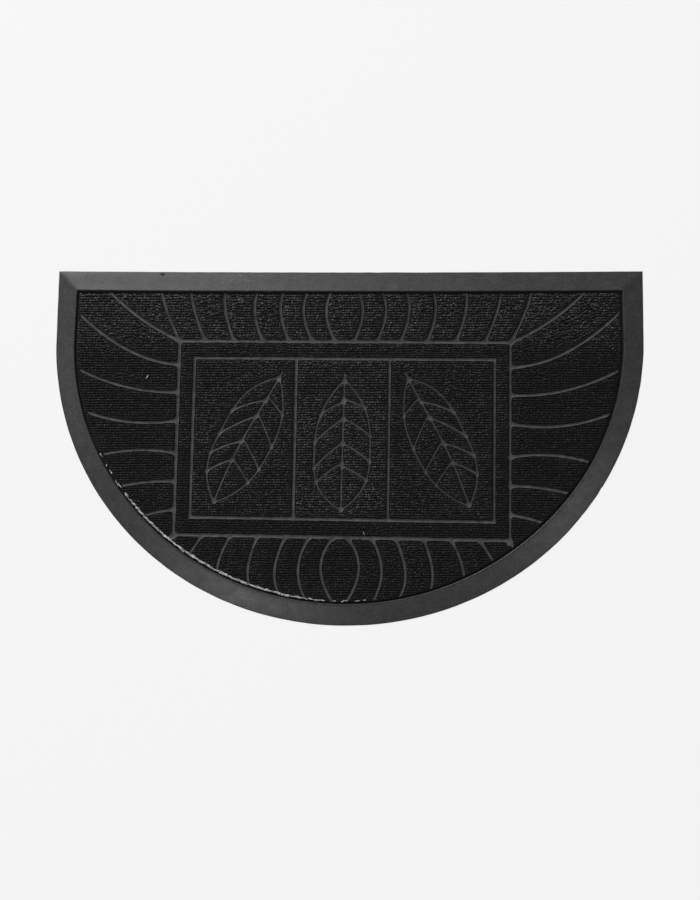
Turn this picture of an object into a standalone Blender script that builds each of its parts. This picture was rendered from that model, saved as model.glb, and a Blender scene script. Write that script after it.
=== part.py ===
"""Half round doormat, lying flat: a moulded rubber tray with a sloped border, and a loop pile carpet
bonded into it, with a pattern of three framed leaves and a fan of curved ribs pressed into the pile.

Units are metres and +Z is up. X runs along the straight back edge, +Y points to that edge, and the
origin is under the middle of the mat, on the surface that it lies on."""

import math

import bmesh
import bpy
from mathutils import Vector
from mathutils.geometry import delaunay_2d_cdt

# The plan of the mat: a slightly full half ellipse in front of two short sides. The back edge is
# drawn in a little at its middle.
MAT_LENGTH = 0.750
ARC_DEPTH = 0.3580
ARC_FULLNESS = 2.02
SIDE_DEPTH = 0.0944
BACK_BOW = -0.0014
SIDE_TAPER = 0.0027
MAT_DEPTH = ARC_DEPTH + SIDE_DEPTH
ARC_CENTRE_Y = ARC_DEPTH - MAT_DEPTH / 2
SIDEWAYS_LEAN = 0.0135

# The rubber tray, measured up from the floor and in from the outer edge. The border is a little
# wider at the front than at the back and the sides, and swells a little between side and front.
BORDER_WIDTHS = {"back": 0.0248, "left": 0.0238, "right": 0.0260, "front": 0.0280}
BORDER_SWELLS = {"left": 0.0011, "right": 0.0022}
BASE_THICKNESS = 0.0025
OUTER_EDGE_HEIGHT = 0.0018
OUTER_EDGE_ROUND = 0.0010
CREST_HEIGHT = 0.0075
CREST_ROUND = 0.0010

# The carpet.
BOND_GAP = 0.0003
EDGE_GAPS = {"back": 0.0028, "left": 0.0014, "right": 0.0024, "front": 0.0016}
PILE_TOP = 0.0062
PRESSED_DEPTH = 0.0016

# Half widths of the pressed lines, at the bottom and at the top of their sloping walls.
FRAME_LINE = {"floor": 0.0016, "top": 0.0025}
RIB_LINE = {"floor": 0.0015, "top": 0.0024}
LEAF_LINE = {"floor": 0.0010, "top": 0.0018}
HEAD_OVERRUN = 0.012

# The outer frame of the pattern. Its corners are not quite square, as on the mat itself.
FRAME_HALF_LENGTH = 0.2130
FRAME_HALF_DEPTH = 0.1257
FRAME_CORNERS = {
    "back_left": Vector((-0.2167, 0.1375)),
    "back_right": Vector((0.2054, 0.1359)),
    "front_left": Vector((-0.2252, -0.1095)),
    "front_right": Vector((0.2049, -0.1173)),
}
INNER_HALF_LENGTH = 0.1929
INNER_BACK_V = 0.1036
INNER_FRONT_V = -0.1027
DIVIDER_U = 0.0600

# How far the middle of each group lies to the left or right of the frame's middle, as pressed.
OFF_MIDDLE = {
    "dividers": -0.0021,
    "back_ribs": -0.0004,
    "side_ribs": 0.0,
    "front_ribs": -0.0015,
    "middle_leaf": -0.0011,
    "side_leaves": -0.0008,
}

# Ribs of the fan, right half. Each runs from its foot on the frame through a middle point to its head.
RIB_COLUMNS = ("foot_u", "foot_v", "middle_u", "middle_v", "head_u", "head_v")
BACK_RIBS = (
    (0.0119, 0.1257, 0.0232, 0.157, 0.0213, 0.184),
    (0.0409, 0.1257, 0.0524, 0.157, 0.0523, 0.184),
    (0.0714, 0.1257, 0.0820, 0.157, 0.0827, 0.184),
    (0.1068, 0.1257, 0.1171, 0.157, 0.1175, 0.184),
    (0.1429, 0.1257, 0.1531, 0.157, 0.1569, 0.184),
    (0.1795, 0.1257, 0.1914, 0.157, 0.1986, 0.184),
    (0.2130, 0.1257, 0.2269, 0.156, 0.2370, 0.184),
    (0.2130, 0.1257, 0.2594, 0.151, 0.3003, 0.184),
)
SIDE_RIBS = (
    (0.2130, 0.0947, 0.2800, 0.1118, 0.3476, 0.1600),
    (0.2130, 0.0590, 0.2795, 0.0646, 0.3451, 0.0879),
    (0.2130, 0.0224, 0.2743, 0.0196, 0.3328, 0.0329),
    (0.2130, -0.0201, 0.2613, -0.0164, 0.3094, -0.0229),
    (0.2130, -0.0567, 0.2485, -0.0581, 0.2838, -0.0638),
    (0.2130, -0.0928, 0.2328, -0.0959, 0.2527, -0.1013),
)
FRONT_RIBS = (
    (0.0108, -0.1257, 0.0243, -0.1625, 0.0088, -0.2046),
    (0.0406, -0.1257, 0.0528, -0.1644, 0.0442, -0.2027),
    (0.0700, -0.1257, 0.0825, -0.1638, 0.0791, -0.1944),
    (0.1054, -0.1257, 0.1156, -0.1574, 0.1161, -0.1823),
    (0.1410, -0.1257, 0.1510, -0.1458, 0.1552, -0.1656),
    (0.1772, -0.1257, 0.1841, -0.1356, 0.1894, -0.1465),
)

# Leaves, on the frame's own grid. The midrib of a side leaf bows towards the leaf's outer side.
MIDDLE_LEAF = {"tip": Vector((0.0, 0.076)), "base": Vector((0.0, -0.091)), "bow": 0.0}
SIDE_LEAF = {"tip": Vector((0.0818, 0.0800)), "base": Vector((0.1638, -0.0830)), "bow": 0.0052}
STALK = 0.008
BOW_TOWARDS_BASE = 1.25

# The edge of a leaf on each kind of side: its reach from the axis, where along the leaf that is, how
# full the edge runs from there to the tip and to the base, and the bulge of the veins on that side.
EDGE_COLUMNS = ("half_width", "widest_share", "tip_fullness", "base_fullness", "vein_bulge")
LEAF_EDGES = {
    "middle": (0.0357, 0.55, 2.6, 2.7, 0.05),
    "outer": (0.0350, 0.52, 3.8, 2.8, 0.06),
    "inner": (0.0318, 0.47, 2.6, 2.3, 0.02),
}

# Veins: where each pair leaves the midrib and where it meets each kind of side, as shares of the length.
VEIN_COLUMNS = ("middle_start", "side_start", "middle", "outer", "inner")
VEINS = (
    (0.17, 0.195, 0.23, 0.377, 0.250),
    (0.31, 0.325, 0.45, 0.558, 0.472),
    (0.50, 0.513, 0.63, 0.706, 0.652),
    (0.65, 0.661, 0.78, 0.826, 0.766),
)

# How finely curves are cut.
ARC_STEPS = 72
BACK_STEPS = 12
SIDE_STEPS = 4
RIB_STEPS = 8
LEAF_STEPS = 18
MIDRIB_STEPS = 8
VEIN_STEPS = 3


def clear_scene():
    for thing in list(bpy.data.objects):
        bpy.data.objects.remove(thing, do_unlink=True)


def make_material(name, colour, roughness):
    material = bpy.data.materials.new(name)
    material.use_nodes = True
    shader = material.node_tree.nodes["Principled BSDF"]
    shader.inputs["Base Color"].default_value = (*colour, 1.0)
    shader.inputs["Roughness"].default_value = roughness
    shader.inputs["Metallic"].default_value = 0.0
    return material


def even(inset):
    return dict.fromkeys(BORDER_WIDTHS, inset)


def inside_border(share, further=None):
    """Insets that end at this share of the border's width, or further in."""
    further = further or even(0.0)
    return {side: share * width + further[side] for side, width in BORDER_WIDTHS.items()}


def fuller(share):
    return math.copysign(abs(share) ** (2 / ARC_FULLNESS), share)


def mat_outline(inset):
    """The mat's edge moved in by the inset of each side, anticlockwise from the back right corner."""
    half_length = MAT_LENGTH / 2
    back_y = ARC_CENTRE_Y + SIDE_DEPTH
    corner_y = back_y - inset["back"]
    corners = {
        "left": Vector((SIDE_TAPER + inset["left"] - half_length, corner_y)),
        "right": Vector((half_length - SIDE_TAPER - inset["right"], corner_y)),
    }
    widest = {
        "left": Vector((inset["left"] - half_length, ARC_CENTRE_Y)),
        "right": Vector((half_length - inset["right"], ARC_CENTRE_Y)),
    }
    points = []
    for step in range(BACK_STEPS):
        share = step / BACK_STEPS
        bow = BACK_BOW * 4 * share * (1 - share)
        points.append(corners["right"].lerp(corners["left"], share) + Vector((0, bow)))
    for step in range(SIDE_STEPS):
        points.append(corners["left"].lerp(widest["left"], step / SIDE_STEPS))
    for step in range(ARC_STEPS + 1):
        angle = math.pi + math.pi * step / ARC_STEPS
        side = "left" if math.cos(angle) < 0 else "right"
        towards_front = math.sin(angle) ** 2
        inward = inset[side] + (inset["front"] - inset[side]) * towards_front
        share_inside = min(inset[side] / BORDER_WIDTHS[side], 1.0)
        inward += BORDER_SWELLS[side] * share_inside * math.sin(2 * angle) ** 2
        across, down = fuller(math.cos(angle)), fuller(math.sin(angle))
        point = Vector((half_length * across, ARC_DEPTH * down))
        outward = Vector((point.x / half_length**2, point.y / ARC_DEPTH**2)).normalized()
        points.append(point - outward * inward + Vector((0, ARC_CENTRE_Y)))
    for step in range(1, SIDE_STEPS):
        points.append(widest["right"].lerp(corners["right"], step / SIDE_STEPS))
    return [Vector((p.x + SIDEWAYS_LEAN * (p.y - ARC_CENTRE_Y), p.y)) for p in points]


def on_mat(u, v):
    """A place on the pattern's own grid, carried to the mat between the frame's four corners."""
    right = (1 + u / FRAME_HALF_LENGTH) / 2
    back = (1 + v / FRAME_HALF_DEPTH) / 2
    back_edge = FRAME_CORNERS["back_left"].lerp(FRAME_CORNERS["back_right"], right)
    front_edge = FRAME_CORNERS["front_left"].lerp(FRAME_CORNERS["front_right"], right)
    return front_edge.lerp(back_edge, back)


def curve_through(start, middle, end, steps, overrun=0.0):
    """A smooth curve through three points, run on straight past its end."""
    pull = 2 * middle - (start + end) / 2
    points = []
    for step in range(steps + 1):
        t = step / steps
        points.append((1 - t) ** 2 * start + 2 * t * (1 - t) * pull + t * t * end)
    if overrun:
        points.append(end + (end - pull).normalized() * overrun)
    return points


def on_side(points, side, group):
    """The points of the right half carried to either side of their group's own middle."""
    return [Vector((side * p.x + OFF_MIDDLE[group], p.y)) for p in points]


def frame_lines():
    """The outer frame, the inner frame and the two dividers, as straight lines."""
    lines = []
    for length, back, front in (
        (FRAME_HALF_LENGTH, FRAME_HALF_DEPTH, -FRAME_HALF_DEPTH),
        (INNER_HALF_LENGTH, INNER_BACK_V, INNER_FRONT_V),
    ):
        for depth in (back, front):
            lines.append([Vector((-length, depth)), Vector((length, depth))])
        for side in (-1, 1):
            lines.append([Vector((side * length, front)), Vector((side * length, back))])
    divider = [Vector((DIVIDER_U, INNER_BACK_V)), Vector((DIVIDER_U, INNER_FRONT_V))]
    for side in (-1, 1):
        lines.append(on_side(divider, side, "dividers"))
    return lines


def rib_lines():
    lines = []
    for group, rows in (("back_ribs", BACK_RIBS), ("side_ribs", SIDE_RIBS), ("front_ribs", FRONT_RIBS)):
        for row in rows:
            rib = dict(zip(RIB_COLUMNS, row))
            curve = curve_through(
                Vector((rib["foot_u"], rib["foot_v"])),
                Vector((rib["middle_u"], rib["middle_v"])),
                Vector((rib["head_u"], rib["head_v"])),
                RIB_STEPS,
                HEAD_OVERRUN,
            )
            for side in (-1, 1):
                lines.append(on_side(curve, side, group))
    return lines


def leaf_edge(kind):
    return dict(zip(EDGE_COLUMNS, LEAF_EDGES[kind]))


def leaf_reach(share, edge):
    """How far the edge lies from the axis: pointed at the tip, fuller towards the base."""
    widest = edge["widest_share"]
    if share < widest:
        drawn_in = ((widest - share) / widest) ** edge["tip_fullness"]
    else:
        drawn_in = ((share - widest) / (1 - widest)) ** edge["base_fullness"]
    return edge["half_width"] * (1 - drawn_in)


def leaf_lines(leaf, start_column, left_kind, right_kind):
    """The two edges, the midrib with its stalk, and the paired veins of one leaf."""
    along = leaf["base"] - leaf["tip"]
    across = Vector((-along.y, along.x)).normalized()

    def midrib_point(share):
        bow = leaf["bow"] * math.sin(math.pi * share**BOW_TOWARDS_BASE)
        return leaf["tip"] + along * share + across * bow

    def edge_point(share, side, edge):
        return leaf["tip"] + along * share + across * side * leaf_reach(share, edge)

    midrib = [leaf["tip"] - along.normalized() * STALK]
    midrib.extend(midrib_point(step / MIDRIB_STEPS) for step in range(MIDRIB_STEPS + 1))
    lines = [midrib]
    for side, kind in ((-1, left_kind), (1, right_kind)):
        edge = leaf_edge(kind)
        lines.append([edge_point(step / LEAF_STEPS, side, edge) for step in range(LEAF_STEPS + 1)])
        for row in VEINS:
            vein = dict(zip(VEIN_COLUMNS, row))
            start = midrib_point(vein[start_column])
            end = edge_point(vein[kind], side, edge)
            bulge = (end - start).length * edge["vein_bulge"]
            middle = (start + end) / 2 - along.normalized() * bulge
            lines.append(curve_through(start, middle, end, VEIN_STEPS))
    return lines


def all_leaf_lines():
    middle = leaf_lines(MIDDLE_LEAF, "middle_start", "middle", "middle")
    lines = [on_side(line, 1, "middle_leaf") for line in middle]
    for line in leaf_lines(SIDE_LEAF, "side_start", "inner", "outer"):
        for side in (-1, 1):
            lines.append(on_side(line, side, "side_leaves"))
    return lines


def pressed_lines():
    """Every pressed line as it lies on the mat, with its half widths."""
    found = []
    for lines, width in (
        (frame_lines(), FRAME_LINE),
        (rib_lines(), RIB_LINE),
        (all_leaf_lines(), LEAF_LINE),
    ):
        for line in lines:
            found.append(([on_mat(p.x, p.y) for p in line], width))
    return found


def beside(points, reach):
    """A closed loop at this distance all round an open line."""
    left, right = [], []
    last = len(points) - 1
    for index, point in enumerate(points):
        before = points[max(index - 1, 0)]
        after = points[min(index + 1, last)]
        forward = (after - before).normalized()
        end_push = forward * reach * ((index == last) - (index == 0))
        aside = Vector((-forward.y, forward.x)) * reach
        left.append(point + end_push + aside)
        right.append(point + end_push - aside)
    return left + right[::-1]


def distance_to(point, start, end):
    run = end - start
    share = max(0.0, min(1.0, (point - start).dot(run) / run.length_squared))
    return (point - start - run * share).length


def pressed_height(point, lines):
    """The height of the carpet's face at a point: low in a pressed line, sloping at its walls."""
    lowest = 1.0
    for points, width in lines:
        for start, end in zip(points, points[1:]):
            away = distance_to(point, start, end)
            if away < width["top"]:
                share = (away - width["floor"]) / (width["top"] - width["floor"])
                lowest = min(lowest, max(0.0, share))
    return PILE_TOP - PRESSED_DEPTH * (1 - lowest)


def add_object(name, bm, material, centre):
    bmesh.ops.translate(bm, verts=bm.verts, vec=(-centre.x, -centre.y, 0))
    bmesh.ops.recalc_face_normals(bm, faces=bm.faces)
    mesh = bpy.data.meshes.new(name)
    bm.to_mesh(mesh)
    bm.free()
    mesh.materials.append(material)
    thing = bpy.data.objects.new(name, mesh)
    bpy.context.scene.collection.objects.link(thing)
    return thing


def build_tray(material, centre):
    """Backing sheet and sloped border in one: rings from the outer edge over the crest to the recess."""
    rise = CREST_HEIGHT - OUTER_EDGE_HEIGHT
    near_crest = 0.92
    section = (
        (even(0.0), 0.0),
        (even(0.0), OUTER_EDGE_HEIGHT - OUTER_EDGE_ROUND / 2),
        (even(OUTER_EDGE_ROUND), OUTER_EDGE_HEIGHT),
        (inside_border(near_crest), OUTER_EDGE_HEIGHT + rise * near_crest),
        (inside_border(1.0, even(-CREST_ROUND)), CREST_HEIGHT),
        (inside_border(1.0), CREST_HEIGHT - CREST_ROUND),
        (inside_border(1.0), BASE_THICKNESS),
    )
    bm = bmesh.new()
    rings = []
    for inset, height in section:
        rings.append([bm.verts.new((p.x, p.y, height)) for p in mat_outline(inset)])
    for lower, upper in zip(rings, rings[1:]):
        for index in range(len(lower)):
            after = (index + 1) % len(lower)
            bm.faces.new((lower[index], lower[after], upper[after], upper[index]))
    bm.faces.new(rings[0][::-1])
    bm.faces.new(rings[-1])
    return add_object("rubber_tray", bm, material, centre)


def build_pile(material, centre):
    """The carpet's face, cut along both edges of every pressed line, over a flat back."""
    lines = pressed_lines()
    edge = mat_outline(inside_border(1.0, EDGE_GAPS))
    places = list(edge)
    cuts = []
    for points, width in lines:
        for reach in (width["floor"], width["top"]):
            loop = beside(points, reach)
            first = len(places)
            places.extend(loop)
            cuts.extend((first + i, first + (i + 1) % len(loop)) for i in range(len(loop)))
    whole_plan = [list(range(len(edge)))]
    fill_all, weld = 0, 2e-5
    corners, _, faces, _, _, in_plan = delaunay_2d_cdt(places, cuts, whole_plan, fill_all, weld)
    bm = bmesh.new()
    top = [bm.verts.new((p.x, p.y, pressed_height(p, lines))) for p in corners]
    for face, inside in zip(faces, in_plan):
        if inside:
            bm.faces.new([top[i] for i in face])
    bmesh.ops.delete(bm, geom=[v for v in bm.verts if not v.link_faces], context="VERTS")
    flat = math.radians(0.05)
    bmesh.ops.dissolve_limit(bm, angle_limit=flat, verts=bm.verts, edges=bm.edges)
    bmesh.ops.triangulate(bm, faces=bm.faces)
    rim = [e for e in bm.edges if e.is_boundary]
    pulled = bmesh.ops.extrude_edge_only(bm, edges=rim)["geom"]
    for vert in [g for g in pulled if isinstance(g, bmesh.types.BMVert)]:
        vert.co.z = BASE_THICKNESS + BOND_GAP
    back_edges = [g for g in pulled if isinstance(g, bmesh.types.BMEdge) and g.is_boundary]
    bmesh.ops.triangle_fill(bm, edges=back_edges, use_beauty=True)
    return add_object("pile_face", bm, material, centre)


def build():
    clear_scene()
    outer = mat_outline(even(0.0))
    low = Vector((min(p.x for p in outer), min(p.y for p in outer)))
    high = Vector((max(p.x for p in outer), max(p.y for p in outer)))
    centre = (low + high) / 2
    build_tray(make_material("rubber", (0.055, 0.055, 0.057), 0.7), centre)
    build_pile(make_material("pile", (0.022, 0.022, 0.023), 0.95), centre)


build()
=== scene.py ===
"""Looks of the half round doormat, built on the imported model, in metres with +Z up.

X runs along the straight back edge, +Y points to that edge, and the origin is under the mat's middle."""

import math

import bpy
import numpy as np
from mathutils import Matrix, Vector


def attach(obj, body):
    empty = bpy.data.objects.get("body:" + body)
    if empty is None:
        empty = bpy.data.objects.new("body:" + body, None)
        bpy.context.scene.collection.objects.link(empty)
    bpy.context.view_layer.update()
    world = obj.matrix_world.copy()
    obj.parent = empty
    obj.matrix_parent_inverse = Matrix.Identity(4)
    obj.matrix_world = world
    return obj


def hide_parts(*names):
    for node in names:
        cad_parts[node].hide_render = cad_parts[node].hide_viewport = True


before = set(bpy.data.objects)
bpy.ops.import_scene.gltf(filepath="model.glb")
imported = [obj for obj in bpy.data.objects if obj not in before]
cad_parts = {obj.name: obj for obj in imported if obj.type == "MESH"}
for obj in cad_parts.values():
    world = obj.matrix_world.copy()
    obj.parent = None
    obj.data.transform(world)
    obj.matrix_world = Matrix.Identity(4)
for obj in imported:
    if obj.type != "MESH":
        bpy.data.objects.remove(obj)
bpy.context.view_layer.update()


# The view: the photographer's camera, straight above the middle of the mat, with a long lens.
PHOTO_HEIGHT = 1.1495
LENS_MM = 85.0
SENSOR_MM = 36.0

camera_data = bpy.data.cameras.new("camera_above")
camera_data.lens = LENS_MM
camera_data.sensor_width = SENSOR_MM
camera_data.clip_end = 20.0
camera = bpy.data.objects.new("camera_above", camera_data)
camera.location = (0.0, -0.0019, PHOTO_HEIGHT * LENS_MM / SENSOR_MM)
bpy.context.scene.collection.objects.link(camera)
bpy.context.scene.camera = camera
bpy.context.scene.view_settings.view_transform = "Standard"


# The studio: a plain pale floor with a little light of its own, a window behind and to the left that
# lights the pile from one side, and small lamps whose sheen shows on the sloped border.
FLOOR_SIZE = 60.0
FLOOR_GRAY = 0.06
FLOOR_GLOW = 0.85
SKY_STRENGTH = 0.25
LAMP_COLUMNS = ("name", "place", "width", "height", "watts")
LAMPS = (
    ("window_back_left", (-1.5, 2.4, 1.7), 0.9, 0.8, 84.0),
    ("sheen_back", (-0.42, 1.45, 2.0), 0.6, 0.4, 5.0),
    ("sheen_left", (-1.5, 0.0, 2.0), 0.5, 1.0, 2.4),
    ("sheen_front_left", (-0.6, -1.2, 2.0), 0.25, 0.25, 5.1),
    ("sheen_front_right", (1.2, -0.72, 2.0), 0.25, 0.25, 3.1),
)


def new_material(name, roughness, specular):
    """A Principled material. Returns it with its node tree and its shader."""
    material = bpy.data.materials.new(name)
    material.use_nodes = True
    tree = material.node_tree
    shader = tree.nodes["Principled BSDF"]
    shader.inputs["Roughness"].default_value = roughness
    shader.inputs["Specular IOR Level"].default_value = specular
    return material, tree, shader


def own_place(tree, stretch=(1.0, 1.0, 1.0), shift=(0.0, 0.0, 0.0)):
    """Object coordinates in metres, stretched along the axes and then shifted."""
    coordinates = tree.nodes.new("ShaderNodeTexCoord")
    mapping = tree.nodes.new("ShaderNodeMapping")
    mapping.inputs["Scale"].default_value = stretch
    mapping.inputs["Location"].default_value = shift
    tree.links.new(coordinates.outputs["Object"], mapping.inputs["Vector"])
    return mapping.outputs["Vector"]


def noise(tree, place, size, detail=2.0, roughness=0.5):
    """Noise whose blotches are about this size across, in metres."""
    node = tree.nodes.new("ShaderNodeTexNoise")
    node.inputs["Scale"].default_value = 1.0 / size
    node.inputs["Detail"].default_value = detail
    node.inputs["Roughness"].default_value = roughness
    tree.links.new(place, node.inputs["Vector"])
    return node.outputs["Fac"]


def ramp(tree, factor, *stops):
    """A gray or colour for each stop, given as (position, value)."""
    node = tree.nodes.new("ShaderNodeValToRGB")
    elements = node.color_ramp.elements
    while len(elements) < len(stops):
        elements.new(0.5)
    for element, (position, value) in zip(elements, stops):
        element.position = position
        colour = value if hasattr(value, "__len__") else (value, value, value)
        element.color = (*colour, 1.0)
    tree.links.new(factor, node.inputs["Fac"])
    return node.outputs["Color"]


def mottled(name, roughness, specular, size, detail, low, high):
    """A material of two grays, in blotches about this size across."""
    material, tree, shader = new_material(name, roughness, specular)
    tone = ramp(tree, noise(tree, own_place(tree), size, detail), low, high)
    tree.links.new(tone, shader.inputs["Base Color"])
    return material, tree, shader


def add_piece(name, verts, faces, material, smooth=True):
    """A mesh object from arrays; faces is an (n, 4) or (n, 3) array, or a list of index tuples."""
    mesh = bpy.data.meshes.new(name)
    mesh.from_pydata(verts, [], faces)
    mesh.validate()
    mesh.polygons.foreach_set("use_smooth", np.full(len(mesh.polygons), smooth))
    mesh.materials.append(material)
    piece = bpy.data.objects.new(name, mesh)
    bpy.context.scene.collection.objects.link(piece)
    return piece


floor_stops = ((0.0, FLOOR_GRAY), (1.0, FLOOR_GRAY + 0.005))
floor_material, floor_tree, floor_shader = mottled("studio_floor", 0.9, 0.2, 0.8, 2.0, *floor_stops)
floor_shader.inputs["Emission Color"].default_value = (1.0, 1.0, 1.0, 1.0)
floor_shader.inputs["Emission Strength"].default_value = FLOOR_GLOW
half_floor = FLOOR_SIZE / 2
floor_corners = [(x * half_floor, y * half_floor, 0.0) for x, y in ((-1, -1), (1, -1), (1, 1), (-1, 1))]
floor = add_piece("studio_floor", floor_corners, [(0, 1, 2, 3)], floor_material, smooth=False)

world = bpy.data.worlds.new("studio_sky")
world.use_nodes = True
sky = world.node_tree.nodes["Background"].inputs
sky["Color"].default_value = (1.0, 1.0, 1.0, 1.0)
sky["Strength"].default_value = SKY_STRENGTH
bpy.context.scene.world = world

for row in LAMPS:
    lamp = dict(zip(LAMP_COLUMNS, row))
    light = bpy.data.lights.new(lamp["name"], "AREA")
    light.shape = "RECTANGLE"
    light.size = lamp["width"]
    light.size_y = lamp["height"]
    light.energy = lamp["watts"]
    holder = bpy.data.objects.new(lamp["name"], light)
    holder.location = lamp["place"]
    holder.rotation_euler = (-Vector(lamp["place"])).to_track_quat("-Z", "Y").to_euler()
    bpy.context.scene.collection.objects.link(holder)


# Rubber tray: one moulded piece of matte black rubber, a backing sheet with a border that slopes up
# to a narrow crest round the recess for the carpet. Its outer edge is a little uneven, with two nicks.
MAT_LENGTH = 0.750
ARC_DEPTH = 0.3580
ARC_FULLNESS = 2.02
SIDE_DEPTH = 0.0944
BACK_BOW = -0.0014
SIDE_TAPER = 0.0027
MAT_DEPTH = ARC_DEPTH + SIDE_DEPTH
ARC_CENTRE_Y = ARC_DEPTH - MAT_DEPTH / 2
SIDEWAYS_LEAN = 0.0135
BORDER_WIDTHS = {"back": 0.0248, "left": 0.0238, "right": 0.0260, "front": 0.0280}
BORDER_SWELLS = {"left": 0.0011, "right": 0.0022}
BASE_THICKNESS = 0.0025
OUTER_EDGE_HEIGHT = 0.0018
CREST_HEIGHT = 0.0075
TRAY_GRAY = 0.030
OUTLINE_STEPS = {"back": 150, "side": 20, "arc": 400}
EDGE_WOBBLE = 0.00025
EDGE_RINGS = range(0, 6)
SLOPE_RINGS = range(5, 12)
# Small lifts along the front of the rings beside the crest, by the number of the ring.
RIM_LIFTS = {11: -0.00008, 12: -0.00018, 13: 0.00014, 14: 0.00013}
NICKS = ((0.2946, -0.0844), (0.3202, -0.0524))
NICK_WIDTH = 0.0035
NICK_DEPTH = 0.0005
LINT_PATCH = ((-0.146, 0.217, 0.004), (0.034, 0.008, 0.02))
STAIN = ((-0.2392, 0.2221, 0.002), (0.0042, 0.0022, 0.01))


def blended(tree, kind, first, second, factor=1.0):
    """Two colours mixed, multiplied or added; each is a socket or a plain colour."""
    node = tree.nodes.new("ShaderNodeMix")
    node.data_type = "RGBA"
    node.blend_type = kind
    for socket, value in ((node.inputs[0], factor), (node.inputs[6], first), (node.inputs[7], second)):
        if isinstance(value, bpy.types.NodeSocket):
            tree.links.new(value, socket)
        else:
            socket.default_value = value
    return node.outputs[2]


def multiplied(tree, first, *others):
    """Colours multiplied by one another."""
    for other in others:
        first = blended(tree, "MULTIPLY", first, other)
    return first


def spot(tree, centre, size):
    """A soft oval mask, 1 at its centre and 0 from its edge outward."""
    stretch = [1 / reach for reach in size]
    place = own_place(tree, stretch, [-middle * by for middle, by in zip(centre, stretch)])
    gradient = tree.nodes.new("ShaderNodeTexGradient")
    gradient.gradient_type = "SPHERICAL"
    tree.links.new(place, gradient.inputs["Vector"])
    return gradient.outputs["Fac"]


def bump(tree, shader, height, strength, distance, before=None):
    """Fine relief on a shader, on top of another relief if one is given."""
    node = tree.nodes.new("ShaderNodeBump")
    node.inputs["Strength"].default_value = strength
    node.inputs["Distance"].default_value = distance
    tree.links.new(height, node.inputs["Height"])
    if before is not None:
        tree.links.new(before, node.inputs["Normal"])
    tree.links.new(node.outputs["Normal"], shader.inputs["Normal"])
    return node.outputs["Normal"]


def even(inset):
    """The same inset on every side."""
    return dict.fromkeys(BORDER_WIDTHS, inset)


def inside_border(share, further=0.0):
    """Insets of each side that end at this share of the border's width, or further in."""
    return {side: share * width + further for side, width in BORDER_WIDTHS.items()}


def fuller(share):
    """A cosine or sine of the arc made a little fuller than that of an ellipse."""
    return np.sign(share) * np.abs(share) ** (2 / ARC_FULLNESS)


def on_arc(angle, inset):
    """Places on the front arc at these angles, moved in by the inset of each side."""
    half_length = MAT_LENGTH / 2
    on_left = np.cos(angle) < 0
    side_inset = np.where(on_left, inset["left"], inset["right"])
    inward = side_inset + (inset["front"] - side_inset) * np.sin(angle) ** 2
    share_inside = side_inset / np.where(on_left, BORDER_WIDTHS["left"], BORDER_WIDTHS["right"])
    swell = np.where(on_left, BORDER_SWELLS["left"], BORDER_SWELLS["right"])
    inward += swell * np.minimum(share_inside, 1.0) * np.sin(2 * angle) ** 2
    arc = np.stack([half_length * fuller(np.cos(angle)), ARC_DEPTH * fuller(np.sin(angle))], 1)
    outward = arc / np.array([half_length**2, ARC_DEPTH**2])
    outward /= np.linalg.norm(outward, axis=1)[:, None]
    return arc - outward * inward[:, None] + np.array([0.0, ARC_CENTRE_Y])


def leaned(points):
    """Places moved sideways the further they are from the arc's ends, as the photo shows."""
    return points + np.outer(points[:, 1] - ARC_CENTRE_Y, (SIDEWAYS_LEAN, 0.0))


def mat_outline(inset):
    """The mat's edge moved in by the inset of each side, anticlockwise from the back right corner."""
    half_length = MAT_LENGTH / 2
    corner_y = ARC_CENTRE_Y + SIDE_DEPTH - inset["back"]
    left_x = inset["left"] - half_length
    right_x = half_length - inset["right"]
    along = np.arange(OUTLINE_STEPS["back"]) / OUTLINE_STEPS["back"]
    back_left_x = left_x + SIDE_TAPER
    back_right_x = right_x - SIDE_TAPER
    back = np.stack(
        [back_right_x + (back_left_x - back_right_x) * along,
         corner_y + BACK_BOW * 4 * along * (1 - along)], 1
    )
    down = np.arange(OUTLINE_STEPS["side"]) / OUTLINE_STEPS["side"]
    left = np.stack([back_left_x - SIDE_TAPER * down, corner_y + (ARC_CENTRE_Y - corner_y) * down], 1)
    angle = math.pi * (1 + np.arange(OUTLINE_STEPS["arc"] + 1) / OUTLINE_STEPS["arc"])
    up = down[1:]
    right = np.stack([right_x - SIDE_TAPER * up, ARC_CENTRE_Y + (corner_y - ARC_CENTRE_Y) * up], 1)
    return leaned(np.concatenate([back, left, on_arc(angle, inset), right]))


def centred(points):
    """Places moved so that the origin is the middle of the mat's box."""
    return points - outline_middle


def smooth_noise(points, size, seed):
    """Smooth random values from -1 to 1 at places in the plan, with bumps of about this size."""
    table = np.random.default_rng(seed).uniform(-1.0, 1.0, (64, 64))
    scaled = np.asarray(points) / size + 1000.0
    cell = np.floor(scaled).astype(int)
    part = scaled - cell
    part = part * part * (3 - 2 * part)
    x0, y0 = cell[..., 0] % 64, cell[..., 1] % 64
    x1, y1 = (x0 + 1) % 64, (y0 + 1) % 64
    low = table[x0, y0] * (1 - part[..., 0]) + table[x1, y0] * part[..., 0]
    high = table[x0, y1] * (1 - part[..., 0]) + table[x1, y1] * part[..., 0]
    return low * (1 - part[..., 1]) + high * part[..., 1]


def band(first, second, count):
    """The faces between two rings of this many verts, from the number of each ring's first vert."""
    faces = []
    for place in range(count):
        after = (place + 1) % count
        faces.append((first + place, first + after, second + after, second + place))
    return faces


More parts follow.
